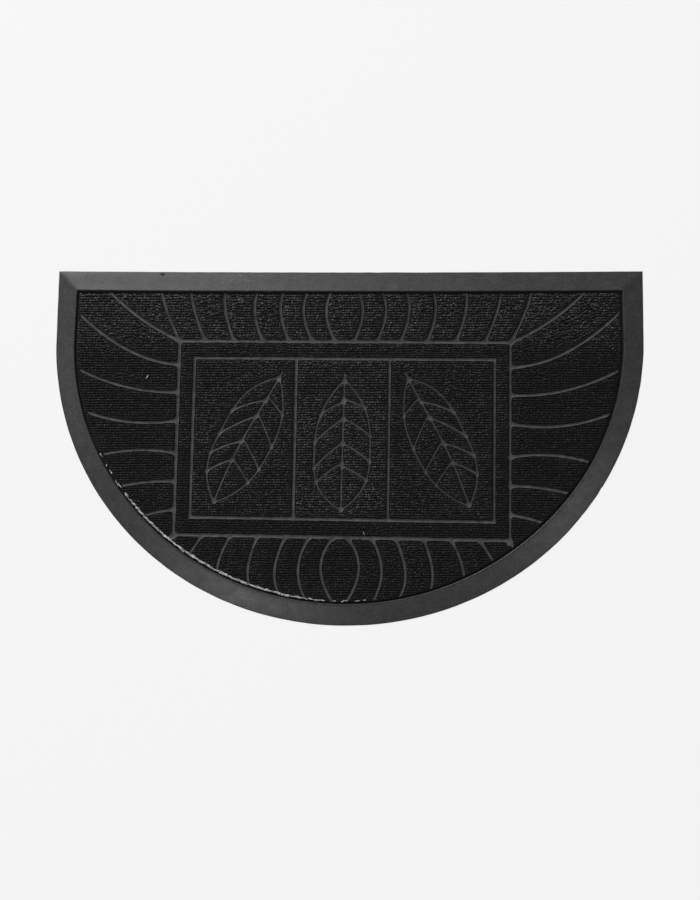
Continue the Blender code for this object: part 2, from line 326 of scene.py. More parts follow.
def closed_rings(rings, count):
    """The faces of a closed body made of rings of verts: the bands between them and both ends."""
    faces = []
    for ring in range(rings - 1):
        faces += band(ring * count, (ring + 1) * count, count)
    faces.append(tuple(range(count))[::-1])
    faces.append(tuple(range((rings - 1) * count, rings * count)))
    return faces


outer_line = mat_outline(even(0.0))
outline_middle = (outer_line.min(axis=0) + outer_line.max(axis=0)) / 2

rise = CREST_HEIGHT - OUTER_EDGE_HEIGHT
slope_shares = (0.15, 0.3, 0.45, 0.6, 0.75)
tray_section = [
    (even(0.0004), 0.0),
    (even(0.0), 0.0004),
    (even(0.0), 0.0012),
    (even(0.0003), 0.0016),
    (even(0.0010), OUTER_EDGE_HEIGHT),
]
tray_section += [(inside_border(s), OUTER_EDGE_HEIGHT + rise * s) for s in slope_shares]
crest_steps = (
    (-0.0032, 0.00060), (-0.0025, 0.00045), (-0.0020, 0.00030), (-0.0015, 0.00015),
    (-0.0006, 0.0), (-0.0001, 0.0005), (0.0, 0.0014), (0.0, CREST_HEIGHT - BASE_THICKNESS),
)
tray_section += [(inside_border(1.0, further), CREST_HEIGHT - down) for further, down in crest_steps]
tray_rings = []
for index, (inset, height) in enumerate(tray_section):
    ring = centred(mat_outline(inset))
    towards_middle = -ring / np.linalg.norm(ring, axis=1)[:, None]
    slack = EDGE_WOBBLE * (0.6 + 0.4 * smooth_noise(ring, 0.031, 3)) * (index in EDGE_RINGS)
    wobble = slack * smooth_noise(ring, 0.012, 4)
    for nick in NICKS:
        away = np.linalg.norm(ring - np.array(nick), axis=1)
        wobble += NICK_DEPTH * np.exp(-((away / NICK_WIDTH) ** 2)) * (index in EDGE_RINGS)
    ring = ring + towards_middle * np.maximum(wobble, -0.0001)[:, None]
    lift = 0.00008 * smooth_noise(ring, 0.015, 5) * (index in SLOPE_RINGS)
    towards_front = np.clip(0.3 - ring[:, 1] / 0.12, 0.0, 1.0)
    lift = lift + RIM_LIFTS.get(index, 0.0) * towards_front
    tray_rings.append(np.column_stack([ring, height + lift]))
count = len(tray_rings[0])
tray_verts = np.concatenate(tray_rings)
tray_faces = closed_rings(len(tray_rings), count)

rubber_material, rubber_tree, rubber_shader = new_material("tray_rubber", 0.42, 0.5)
rubber_place = own_place(rubber_tree)
# The rubber's tone in blotches and finer flecks: partly its own uneven colour and partly painted sheen,
# lighter where the glossy rubber catches the light.
clouds = ramp(rubber_tree, noise(rubber_tree, rubber_place, 0.016, 3.0, 0.6), (0.3, 0.82), (0.72, 1.18))
tone_and_sheen_flecks = ramp(rubber_tree, noise(rubber_tree, rubber_place, 0.0030, 3.0), (0.3, 0.72), (0.75, 1.4))
tone = multiplied(rubber_tree, clouds, tone_and_sheen_flecks, (TRAY_GRAY, TRAY_GRAY, TRAY_GRAY * 1.02, 1.0))
lint_here = ramp(rubber_tree, spot(rubber_tree, *LINT_PATCH), (0.0, 0.0), (0.6, 1.0))
lint = ramp(rubber_tree, noise(rubber_tree, rubber_place, 0.0016, 1.0), (0.60, 0.0), (0.70, 1.0))
lint = multiplied(rubber_tree, lint, lint_here)
tone = blended(rubber_tree, "MIX", tone, (0.12, 0.12, 0.12, 1.0), lint)
specks = ramp(rubber_tree, noise(rubber_tree, rubber_place, 0.0024, 1.0), (0.70, 1.0), (0.78, 2.2))
tone = multiplied(rubber_tree, tone, specks)
stain = ramp(rubber_tree, spot(rubber_tree, *STAIN), (0.0, 0.0), (0.5, 1.0))
tone = blended(rubber_tree, "MIX", tone, (0.012, 0.012, 0.012, 1.0), stain)
rubber_tree.links.new(tone, rubber_shader.inputs["Base Color"])
shine = ramp(rubber_tree, noise(rubber_tree, rubber_place, 0.018, 3.0, 0.6), (0.25, 0.32), (0.75, 0.42))
shine = blended(rubber_tree, "MIX", shine, (0.9, 0.9, 0.9, 1.0), stain)
rubber_tree.links.new(shine, rubber_shader.inputs["Roughness"])
grain = bump(rubber_tree, rubber_shader, noise(rubber_tree, rubber_place, 0.0014, 3.0), 0.25, 0.0002)
bump(rubber_tree, rubber_shader, noise(rubber_tree, rubber_place, 0.012, 2.0), 0.25, 0.0006, grain)

# A matte rubber for the recess's wall and floor, painted much darker than the border: painted shade for the
# deep, narrow gap beside the pile.
recess_shade_material, *_ = mottled("tray_recess_painted_shade", 0.95, 0.1, 0.003, 2.0, (0.3, 0.018), (0.7, 0.028))

tray = add_piece("rubber_tray_moulded", tray_verts, tray_faces, rubber_material)
tray.data.materials.append(recess_shade_material)
# The faces of the recess's wall and floor take the painted shade.
for face in tray.data.polygons:
    if face.center.z < CREST_HEIGHT - 0.0016 and face.index >= (len(tray_rings) - 2) * count:
        face.material_index = 1
tray.data.polygons[(len(tray_rings) - 1) * count].material_index = 0
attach(tray, "root")
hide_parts("rubber_tray")


# Pattern pressed into the carpet: a double frame with two dividers, three leaves and a fan of ribs.
# Each line is a smooth groove where heat has flattened the loops; lines run into one another softly.
PILE_EDGE_GAPS = {"back": 0.0028, "left": 0.0014, "right": 0.0024, "front": 0.0016}
FRAME_HALF_LENGTH = 0.2130
FRAME_HALF_DEPTH = 0.1257
FRAME_CORNERS = {
    "back_left": (-0.2168, 0.1373),
    "back_right": (0.2044, 0.1350),
    "front_left": (-0.2252, -0.1096),
    "front_right": (0.2039, -0.1174),
}
INNER_HALF_LENGTH = 0.1929
INNER_BACK_V = 0.1036
INNER_FRONT_V = -0.1027
DIVIDER_U = 0.0600
OFF_MIDDLE = {
    "dividers": -0.0021,
    "back_ribs": -0.0004,
    "side_ribs": 0.0,
    "front_ribs": -0.0015,
    "middle_leaf": -0.0011,
    "side_leaves": -0.0010,
}
RIB_COLUMNS = ("foot", "middle_u", "middle_v", "head_u", "head_v")
BACK_RIBS = (
    (0.0115, 0.0230, 0.1570, 0.0200, 0.1840),
    (0.0410, 0.0525, 0.1570, 0.0505, 0.1840),
    (0.0715, 0.0820, 0.1570, 0.0815, 0.1840),
    (0.1055, 0.1160, 0.1570, 0.1155, 0.1840),
    (0.1425, 0.1535, 0.1570, 0.1565, 0.1840),
    (0.1800, 0.1930, 0.1570, 0.2000, 0.1840),
    (0.2130, 0.2280, 0.1560, 0.2380, 0.1840),
    (0.2130, 0.2600, 0.1510, 0.3015, 0.1840),
)
SIDE_RIBS = (
    (0.0945, 0.2800, 0.1125, 0.3475, 0.1610),
    (0.0590, 0.2795, 0.0650, 0.3450, 0.0885),
    (0.0225, 0.2745, 0.0200, 0.3330, 0.0335),
    (-0.0200, 0.2615, -0.0165, 0.3095, -0.0235),
    (-0.0565, 0.2485, -0.0580, 0.2840, -0.0640),
    (-0.0930, 0.2330, -0.0965, 0.2525, -0.1020),
)
FRONT_RIBS = (
    (0.0085, 0.0240, -0.1625, 0.0110, -0.2045),
    (0.0395, 0.0525, -0.1645, 0.0445, -0.2025),
    (0.0695, 0.0820, -0.1640, 0.0785, -0.1945),
    (0.1050, 0.1150, -0.1575, 0.1160, -0.1825),
    (0.1395, 0.1495, -0.1460, 0.1550, -0.1655),
    (0.1755, 0.1820, -0.1355, 0.1890, -0.1465),
    (0.2130, 0.2150, -0.1290, 0.2170, -0.1330),
)
FAN_LEAN_COLUMNS = ("lean", "upright_at")
FAN_LEANS = {"back_ribs": (0.010, 0.15), "front_ribs": (0.007, 0.10)}
SIDE_FAN_TWIST = 0.10
LEAN_SHARES = {"foot": 0.5, "middle": 0.9, "head": 1.0}
MIDDLE_LEAF = {"tip": (0.0012, 0.0765), "base": (-0.0008, -0.091), "bow": 0.0}
SIDE_LEAF = {"tip": (0.0826, 0.0792), "base": (0.1624, -0.0830), "bow": 0.0052}
STALK = 0.008
BOW_TOWARDS_BASE = 1.25
EDGE_COLUMNS = ("half_width", "widest_share", "tip_fullness", "base_fullness", "vein_bulge")
LEAF_EDGES = {
    "middle_left": (0.0360, 0.57, 2.6, 3.4, 0.05),
    "middle_right": (0.0352, 0.54, 2.9, 3.0, 0.05),
    "outer": (0.0352, 0.53, 3.5, 3.0, 0.06),
    "inner": (0.0328, 0.50, 2.5, 2.7, 0.02),
}
VEIN_COLUMNS = ("middle_left", "middle_right", "outer", "inner")
VEIN_STARTS = (
    (0.168, 0.150, 0.190, 0.160),
    (0.297, 0.299, 0.322, 0.296),
    (0.482, 0.488, 0.525, 0.505),
    (0.637, 0.660, 0.672, 0.663),
)
VEIN_ENDS = (
    (0.270, 0.210, 0.358, 0.228),
    (0.482, 0.425, 0.546, 0.468),
    (0.678, 0.622, 0.692, 0.648),
    (0.786, 0.766, 0.822, 0.766),
)
HEAD_OVERRUN = 0.012
LINE_STEPS = 24
FRAME_COLUMNS = ("half_length", "back_v", "front_v", "back", "front", "left", "right")
FRAMES = (
    (FRAME_HALF_LENGTH, FRAME_HALF_DEPTH, -FRAME_HALF_DEPTH, 0.00145, 0.00165, 0.00145, 0.00105),
    (INNER_HALF_LENGTH, INNER_BACK_V, INNER_FRONT_V, 0.00125, 0.00145, 0.00135, 0.00100),
)
DIVIDER_HALF_WIDTHS = {-1: 0.00140, 1: 0.00115}
RIB_HALF_WIDTHS = {"back_ribs": 0.0014, "side_ribs": 0.00125, "front_ribs": 0.00125}
FRAME_LINE_HALF_WIDTH = 0.00145
FOOT_FLARE = 0.0030
FOOT_FLARE_LENGTH = 0.0032
HEADS_SHORT = {"back_ribs": (0.0, 0.0), "side_ribs": (0.0048, 0.0030), "front_ribs": (0.0010, 0.0022)}
# The tone column is painted sheen and shade: each line of the leaves is painted lighter or darker by the way
# it runs against the light.
LEAF_LINE_COLUMNS = ("half_width", "tone")
LEAF_LINES = {
    "midrib": (0.00062, 0.72),
    "middle_left_edge": (0.00066, 0.72),
    "middle_right_edge": (0.00062, 0.62),
    "middle_left_vein": (0.00066, 0.72),
    "middle_right_vein": (0.00064, 0.85),
    "outer_edge": (0.00066, 0.60),
    "outer_vein": (0.00080, 0.88),
    "inner_edge": (0.00050, 0.68),
    "inner_vein": (0.00034, 0.72),
}
# Tones of the lines by side, and of the leaves, are painted light and shade, set by how the light from the
# back left falls on each line's walls: upright lines and most lines on the right are painted darker.
FRAME_TONES = {"back": 1.0, "front": 1.05, "left": 0.85, "right": 0.62}
DIVIDER_TONES = {-1: 0.88, 1: 0.68}
RIB_TONES = {"back_ribs": (0.90, 0.60), "side_ribs": (0.98, 1.08), "front_ribs": (0.92, 0.85)}
RIB_HEAD_FADES = {"back_ribs": 0.5, "side_ribs": 0.25, "front_ribs": 0.15}
HEAD_FADE_REACH = 0.008
CORNER_RIB_GAIN = 1.4
LEAF_GAINS = {"left": 1.15, "middle": 0.95, "right": 0.86}
PAD_TONE = 1.40
PAD_COLUMNS = ("u", "v", "radius")
CORNER_PADS = ((-0.2128, -0.1275, 0.0034), (0.2120, -0.1285, 0.0030))
LEAF_PADS = {"ends": 0.0022, "midrib": 0.0018, "edge": 0.0012}
BLEND = 0.0010
FIELD_STEP = 0.001
FAR = 0.012


frame_corners = {name: centred(np.array(place)) for name, place in FRAME_CORNERS.items()}


def on_mat(u, v):
    """Places on the pattern's own grid, carried to the mat between the frame's four corners."""
    right = (1 + u / FRAME_HALF_LENGTH)[:, None] / 2
    back = (1 + v / FRAME_HALF_DEPTH)[:, None] / 2
    back_edge = frame_corners["back_left"] * (1 - right) + frame_corners["back_right"] * right
    front_edge = frame_corners["front_left"] * (1 - right) + frame_corners["front_right"] * right
    return front_edge * (1 - back) + back_edge * back


def curve_through(start, middle, end, overrun=0.0):
    """A smooth curve through three points, run on straight past its end."""
    start, middle, end = (np.array(p) for p in (start, middle, end))
    pull = 2 * middle - (start + end) / 2
    t = np.linspace(0, 1, LINE_STEPS + 1)[:, None]
    points = (1 - t) ** 2 * start + 2 * t * (1 - t) * pull + t * t * end
    if overrun:
        way = (end - pull) / np.linalg.norm(end - pull)
        points = np.concatenate([points, [end + way * overrun]])
    return points


def on_side(points, side, group):
    """Points of the right half carried to either side of their group's own middle."""
    return points * np.array([side, 1.0]) + np.array([OFF_MIDDLE[group], 0.0])


def frame_lines():
    """Each straight line of the frame and its dividers, with its half width and tone."""
    lines = []
    for row in FRAMES:
        frame_row = dict(zip(FRAME_COLUMNS, row))
        length, back, front = (frame_row[key] for key in ("half_length", "back_v", "front_v"))
        ends = {
            "back": ((-length, back), (length, back)),
            "front": ((-length, front), (length, front)),
            "left": ((-length, front), (-length, back)),
            "right": ((length, front), (length, back)),
        }
        lines += [(frame_row[side], FRAME_TONES[side], np.array(line)) for side, line in ends.items()]
    divider = np.array([(DIVIDER_U, INNER_BACK_V), (DIVIDER_U, INNER_FRONT_V)])
    for side in (-1, 1):
        lines.append((DIVIDER_HALF_WIDTHS[side], DIVIDER_TONES[side], on_side(divider, side, "dividers")))
    return lines


def rib_lines():
    """Each rib of the fan, with its group, its tone and how far short of the pile's edge its head ends.
    As in the photo, both fans lean outwards to the right, and the side ribs twist up on the left."""
    lines = []
    for group, rows in (("back_ribs", BACK_RIBS), ("side_ribs", SIDE_RIBS), ("front_ribs", FRONT_RIBS)):
        for row in rows:
            rib = dict(zip(RIB_COLUMNS, row))
            feet = {
                "back_ribs": (rib["foot"], FRAME_HALF_DEPTH),
                "side_ribs": (FRAME_HALF_LENGTH, rib["foot"]),
                "front_ribs": (rib["foot"], -FRAME_HALF_DEPTH),
            }
            parts = {
                "foot": feet[group],
                "middle": (rib["middle_u"], rib["middle_v"]),
                "head": (rib["head_u"], rib["head_v"]),
            }
            gain = CORNER_RIB_GAIN if row is BACK_RIBS[-1] else 1.0
            for side, short, tone in zip((-1, 1), HEADS_SHORT[group], RIB_TONES[group]):
                places = []
                for part, (u, v) in parts.items():
                    if group == "side_ribs":
                        moved = (0.0, -side * SIDE_FAN_TWIST * max(v, 0.0) ** 2 * LEAN_SHARES[part])
                    else:
                        fan = dict(zip(FAN_LEAN_COLUMNS, FAN_LEANS[group]))
                        moved = (fan["lean"] * (u - fan["upright_at"]) * LEAN_SHARES[part], 0.0)
                    places.append(on_side(np.array([[u, v]]), side, group)[0] + np.array(moved))
                lines.append((group, short, tone * gain, curve_through(*places, HEAD_OVERRUN)))
    return lines


def leaf_lines(leaf, left_kind, right_kind):
    """The midrib with its stalk, the edges and veins of one leaf by kind, and the pads where they join."""
    tip = np.array(leaf["tip"])
    along = np.array(leaf["base"]) - tip
    forward = along / np.linalg.norm(along)
    across = np.array([-forward[1], forward[0]])

    def midrib_point(share):
        bow = leaf["bow"] * np.sin(math.pi * share**BOW_TOWARDS_BASE)
        return tip + along * share + across * bow

    def edge_point(share, side, edge):
        widest = edge["widest_share"]
        if share < widest:
            drawn_in = ((widest - share) / widest) ** edge["tip_fullness"]
        else:
            drawn_in = ((share - widest) / (1 - widest)) ** edge["base_fullness"]
        return tip + along * share + across * side * edge["half_width"] * (1 - drawn_in)

    shares = np.linspace(0, 1, LINE_STEPS + 1)
    lines = [("midrib", np.array([tip - forward * STALK] + [midrib_point(share) for share in shares]))]
    pads = [("ends", midrib_point(0.015)), ("ends", midrib_point(0.99))]
    for side, kind in ((-1, left_kind), (1, right_kind)):
        edge = dict(zip(EDGE_COLUMNS, LEAF_EDGES[kind]))
        lines.append((kind + "_edge", np.array([edge_point(share, side, edge) for share in shares])))
        column = VEIN_COLUMNS.index(kind)
        for start_row, end_row in zip(VEIN_STARTS, VEIN_ENDS):
            start = midrib_point(start_row[column])
            end = edge_point(end_row[column], side, edge)
            bulge = np.linalg.norm(end - start) * edge["vein_bulge"]
            lines.append((kind + "_vein", curve_through(start, (start + end) / 2 - forward * bulge, end)))
            pads += [("midrib", start), ("edge", end)] if kind != "inner" else [("edge", end)]
    return lines, pads


middle_curves, middle_pads = leaf_lines(MIDDLE_LEAF, "middle_left", "middle_right")
side_curves, side_pads = leaf_lines(SIDE_LEAF, "inner", "outer")
leaf_curves, leaf_pads = [], []
for curves, pads, group, side, gain in (
    (middle_curves, middle_pads, "middle_leaf", 1, LEAF_GAINS["middle"]),
    (side_curves, side_pads, "side_leaves", -1, LEAF_GAINS["left"]),
    (side_curves, side_pads, "side_leaves", 1, LEAF_GAINS["right"]),
):
    leaf_curves += [(kind, gain, on_side(curve, side, group)) for kind, curve in curves]
    leaf_pads += [(kind, gain, on_side(place[None, :], side, group)) for kind, place in pads]

pile_insets = {side: BORDER_WIDTHS[side] + gap for side, gap in PILE_EDGE_GAPS.items()}
pile_edge = centred(mat_outline(pile_insets))
field_low = pile_edge.min(axis=0) - 0.003
field_high = pile_edge.max(axis=0) + 0.003
field_x = np.arange(field_low[0], field_high[0] + FIELD_STEP, FIELD_STEP)
field_y = np.arange(field_low[1], field_high[1] + FIELD_STEP, FIELD_STEP)
grid_x, grid_y = np.meshgrid(field_x, field_y, indexing="ij")


def window(points, reach):
    """The part of the field's grid within reach of some points."""
    low = np.floor((points.min(axis=0) - reach - field_low) / FIELD_STEP).astype(int)
    high = np.ceil((points.max(axis=0) + reach - field_low) / FIELD_STEP).astype(int) + 1
    low = np.maximum(low, 0)
    return slice(low[0], max(high[0], 0)), slice(low[1], max(high[1], 0))


def to_stretch(start, end, here):
    """How far along a straight stretch each grid point's nearest place is, as a share, and its distance."""
    way = end - start
    away_x, away_y = grid_x[here] - start[0], grid_y[here] - start[1]
    share = np.clip((away_x * way[0] + away_y * way[1]) / (way @ way), 0.0, 1.0)
    return share, np.hypot(away_x - way[0] * share, away_y - way[1] * share)


def distance_along(points, here):
    """Distance from the grid to a line of straight stretches, and how far along it the nearest place is."""
    nearest = np.full(grid_x[here].shape, 1.0)
    run_there = np.zeros(grid_x[here].shape)
    run = 0.0
    for start, end in zip(points, points[1:]):
        length = np.linalg.norm(end - start)
        share, distance = to_stretch(start, end, here)
        closer = distance < nearest
        nearest[closer] = distance[closer]
        run_there[closer] = run + share[closer] * length
        run += length
    return nearest, run_there


def inside_distance(outline):
    """Distance from the grid to an outline, positive inside it."""
    nearest = np.full(grid_x.shape, 1.0)
    crossings = np.zeros(grid_x.shape, int)
    for start, end in zip(outline, np.roll(outline, -1, axis=0)):
        way = end - start
        here = window(np.array([start, end]), FAR)
        nearest[here] = np.minimum(nearest[here], to_stretch(start, end, here)[1])
        spans = (grid_y >= min(start[1], end[1])) & (grid_y < max(start[1], end[1]))
        if way[1]:
            crossings += spans & (grid_x < start[0] + (grid_y - start[1]) * way[0] / way[1])
    nearest = np.minimum(nearest, FAR)
    return np.where(crossings % 2 == 1, nearest, -nearest)


from_edge = inside_distance(pile_edge)
press = np.zeros(grid_x.shape)
toned = np.zeros(grid_x.shape)
grid_places = np.stack([grid_x, grid_y], -1)
uneven = 1 + 0.16 * smooth_noise(grid_places, 0.009, 21) + 0.10 * smooth_noise(grid_places, 0.004, 22)


def add_pressed(here, beyond, tone):
    """Adds one mark to the pressed field, from how far beyond its edge each grid point lies."""
    pressed_here = np.exp(-beyond / BLEND)
    press[here] += pressed_here
    toned[here] += pressed_here * tone


def press_line(line, half_width, tone, flare=0.0, short=0.0, fade=0.0):
    """Adds one line to the pressed field, wider at its start if it has a flare, and darker near the
    pile's edge if it fades."""
    points = on_mat(line[:, 0], line[:, 1])
    here = window(points, FAR)
    distance, run = distance_along(points, here)
    width = half_width * uneven[here]
    if flare:
        wider = flare * np.exp(-run / FOOT_FLARE_LENGTH)
        width = np.minimum(width + wider, FRAME_LINE_HALF_WIDTH + run)
    if short:
        width = width - 2.0 * np.maximum(short - from_edge[here], 0.0)
    faded = fade * np.exp(-np.maximum(from_edge[here], 0) / HEAD_FADE_REACH)
    add_pressed(here, distance - width, tone * (1 - faded))


def press_pad(place, radius, gain):
    """Adds one round pad to the pressed field."""
    middle = on_mat(place[:, 0], place[:, 1])
    here = window(middle, FAR)
    distance = np.hypot(grid_x[here] - middle[0, 0], grid_y[here] - middle[0, 1])
    add_pressed(here, distance - radius * uneven[here], PAD_TONE * gain)


for half_width, tone, line in frame_lines():
    press_line(line, half_width, tone)
for group, short, tone, line in rib_lines():
    press_line(line, RIB_HALF_WIDTHS[group], tone, FOOT_FLARE, short, RIB_HEAD_FADES[group])
for kind, gain, line in leaf_curves:
    leaf_line = dict(zip(LEAF_LINE_COLUMNS, LEAF_LINES[kind]))
    press_line(line, leaf_line["half_width"], leaf_line["tone"] * gain)
for kind, gain, place in leaf_pads:
    press_pad(place, LEAF_PADS[kind], gain)
for row in CORNER_PADS:
    pad = dict(zip(PAD_COLUMNS, row))
    press_pad(np.array([[pad["u"], pad["v"]]]), pad["radius"], 1.0)
beside_lines = -BLEND * np.log(np.maximum(press, math.exp(-FAR / BLEND)))
line_tones = toned / np.maximum(press, math.exp(-FAR / BLEND))


def sampled(field, x, y):
    """A field's values between its grid points."""
    at_x = np.clip((x - field_low[0]) / FIELD_STEP, 0, field.shape[0] - 1.001)
    at_y = np.clip((y - field_low[1]) / FIELD_STEP, 0, field.shape[1] - 1.001)
    column, row = at_x.astype(int), at_y.astype(int)
    part_x, part_y = at_x - column, at_y - row
    low = field[column, row] * (1 - part_x) + field[column + 1, row] * part_x
    high = field[column, row + 1] * (1 - part_x) + field[column + 1, row + 1] * part_x
    return low * (1 - part_y) + high * part_y


# Carpet backing: a dark sheet glued into the tray's recess, from which the loops rise. It is seen only
# as the dark bottom between the loops and at the pile's edge.
BACKING_BOTTOM = 0.0028
BACKING_TOP = 0.0040
backing_ring = pile_edge[::2]
ring_count = len(backing_ring)
shrink_rows = (1.0, 0.93, 0.8, 0.6, 0.35, 0.12)
backing_verts = [(0.0, 0.0, BACKING_TOP), (0.0, 0.0, BACKING_BOTTOM)]
backing_faces = []
for height in (BACKING_TOP, BACKING_BOTTOM):
    for shrink in shrink_rows:
        backing_verts += [(x * shrink, y * shrink, height) for x, y in backing_ring]
for layer, way in ((0, 1), (1, -1)):
    first = 2 + layer * ring_count * len(shrink_rows)
    last = first + (len(shrink_rows) - 1) * ring_count
    for start in range(first, last, ring_count):
        backing_faces += [face[::way] for face in band(start, start + ring_count, ring_count)]
    fan = [(layer, last + place, last + (place + 1) % ring_count) for place in range(ring_count)]
    backing_faces += [face[::way] for face in fan]
bottom_start = 2 + ring_count * len(shrink_rows)
backing_faces += [face[::-1] for face in band(2, bottom_start, ring_count)]

backing_material, *_ = mottled("backing_cloth", 0.95, 0.1, 0.004, 3.0, (0.3, 0.008), (0.7, 0.014))
backing = add_piece("carpet_backing", backing_verts, backing_faces, backing_material, smooth=False)
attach(backing, "root")
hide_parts("pile_face")


# Pressed lines: the flattened bottoms of the pattern's grooves, smooth and a little shiny, of the same
# fibre as the loops. One sheet follows the whole pattern and dips along the middle of each line.
LINE_BOTTOM = 0.0046
LINE_RISE = 0.0010
UNDER_PILE = 0.0004


def outlined_cells(field, level):
    """The part of the grid where a field lies under a level, with its border cut between grid points."""
    inside = field < level
    corner = np.full(field.shape, -1)
    corner[inside] = np.arange(inside.sum())
    verts = [np.stack([grid_x[inside], grid_y[inside]], 1)]
    count = int(inside.sum())
    cuts = {}
    for axis in (0, 1):
        one = (slice(None),) * axis + (slice(None, -1),)
        two = (slice(None),) * axis + (slice(1, None),)
        crossed = inside[one] != inside[two]
        share = (level - field[one][crossed]) / (field[two][crossed] - field[one][crossed])
        x = grid_x[one][crossed] + share * (grid_x[two][crossed] - grid_x[one][crossed])
        y = grid_y[one][crossed] + share * (grid_y[two][crossed] - grid_y[one][crossed])
        numbers = np.full(crossed.shape, -1)
        numbers[crossed] = count + np.arange(crossed.sum())
        cuts[axis] = numbers
        verts.append(np.stack([x, y], 1))
        count += int(crossed.sum())
    faces = []
    some = inside[:-1, :-1] | inside[1:, :-1] | inside[1:, 1:] | inside[:-1, 1:]
    for i, j in zip(*np.nonzero(some)):
        corners = ((i, j), (i + 1, j), (i + 1, j + 1), (i, j + 1))
        sides = (cuts[0][i, j], cuts[1][i + 1, j], cuts[0][i, j + 1], cuts[1][i, j])
        face = []
        for (ci, cj), cut in zip(corners, sides):
            if inside[ci, cj]:
                face.append(int(corner[ci, cj]))
            if cut >= 0:
                face.append(int(cut))
        if len(face) >= 3:
            faces.append(face)
    return np.concatenate(verts), faces


strip_field = np.maximum(beside_lines, -from_edge)
strip_places, strip_faces = outlined_cells(strip_field, UNDER_PILE)
strip_depth = sampled(beside_lines, strip_places[:, 0], strip_places[:, 1])
climb = np.clip((strip_depth + 0.0012) / (UNDER_PILE + 0.0012), 0, 1)
ripple = 0.00012 * smooth_noise(strip_places, 0.003, 31)
strip_heights = LINE_BOTTOM + LINE_RISE * climb * climb * (3 - 2 * climb) + ripple

line_material, line_tree, line_shader = new_material("pressed_fibre", 0.7, 0.4)
line_place = own_place(line_tree)
line_clouds = ramp(line_tree, noise(line_tree, line_place, 0.009, 3.0, 0.6), (0.32, 0.55), (0.68, 1.38))
line_fibres = ramp(line_tree, noise(line_tree, line_place, 0.0009, 2.0), (0.25, 0.8), (0.75, 1.2))
tone_here = line_tree.nodes.new("ShaderNodeAttribute")
tone_here.attribute_name = "line_tone"
line_gray = (0.052, 0.052, 0.053, 1.0)
line_tone = multiplied(line_tree, line_clouds, line_fibres, tone_here.outputs["Color"], line_gray)
line_tree.links.new(line_tone, line_shader.inputs["Base Color"])
bump(line_tree, line_shader, noise(line_tree, line_place, 0.0011, 3.0), 0.5, 0.0003)
pressed = add_piece(
    "pressed_lines", np.column_stack([strip_places, strip_heights]), strip_faces, line_material
)
# The line tones carry the painted light and shade of each line into the material.
strip_tones = sampled(line_tones, strip_places[:, 0], strip_places[:, 1])
shade = pressed.data.attributes.new("line_tone", "FLOAT", "POINT")
shade.data.foreach_set("value", strip_tones.astype(np.float32))
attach(pressed, "root")


# Loop pile: rows of dark gray yarn that run along the mat, looped up and down through the backing. A
# row stops at each pressed line and at the mat's border, and the loops beside a line lean on its edge.
ROW_PITCH = 0.003175
LOOP_LENGTHS = (0.0026, 0.0046)
# The tone column is painted shade and light: each loop is painted dark where it dips into the backing and
# lighter at its top.
LOOP_SECTION_COLUMNS = ("along", "drop", "width", "thickness", "tone")
LOOP_SECTIONS = (
    (0.00, 0.0021, 0.50, 0.80, 0.18),
    (0.24, 0.0005, 0.90, 0.95, 0.85),
    (0.50, 0.0000, 1.00, 1.00, 1.20),
    (0.76, 0.0005, 0.90, 0.95, 0.85),
)
ARCH = 0.00035
LEAN_SPREAD = 0.00024
SLANT_SPREAD = 0.00050
ARCH_SPREAD = 0.00030
SUNK_MOST = 0.0011
SUNK_SHADE = 0.35
TONE_LEAST = 0.25
TONE_SPREAD = 2.9
END_DROP = 0.0006
END_THINNER = 0.75
YARN_SIDES = 4
YARN_TURN = 0.25
YARN_WIDTH = 0.00115
YARN_THICKNESS = 0.00110
LOOP_TOP = 0.0062
WALL_DROP = 0.0016
WALL_ROUND = 0.0016
TUCK = 0.00045
NEAREST = 0.0009
SETTLED = 0.0024
FAR_SIDE_DROP = 0.0013
# How much the loops beside a line are painted lighter or darker, as painted light and shade.
FACING_GAIN = 0.55
WALL_SHADE = 0.12
WALL_REACH = 0.0032
YARN_SEED = 7
PATCH_COLUMNS = ("x", "y", "radius", "gain")
PALE_PATCHES = (
    (-0.1396, 0.1884, 0.0030, 2.4),
    (-0.1130, 0.1868, 0.0022, 1.8),
    (-0.0040, 0.1880, 0.0024, 1.2),
)
# Painted light: how bright each block's yarn is painted, brighter towards the back and the middle and darker
# towards the front and the sides, as the light falls off from the back.
BLOCK_PAINTED_LIGHT = {
    "pile_back_fan": 1.82,
    "pile_left_fan": 0.66,
    "pile_right_fan": 0.56,
    "pile_front_fan": 0.67,
    "pile_back_band": 0.92,
    "pile_front_band": 0.52,
    "pile_panel_left": 1.22,
    "pile_panel_middle": 1.66,
    "pile_panel_right": 1.02,
}
CORNER_BLEND = (0.012, 0.055)

rng = np.random.default_rng(YARN_SEED)
pile_field = np.minimum(beside_lines, from_edge - 0.0002)
slope_x, slope_y = np.gradient(pile_field, FIELD_STEP)
section = dict(zip(LOOP_SECTION_COLUMNS, np.array(LOOP_SECTIONS).T))


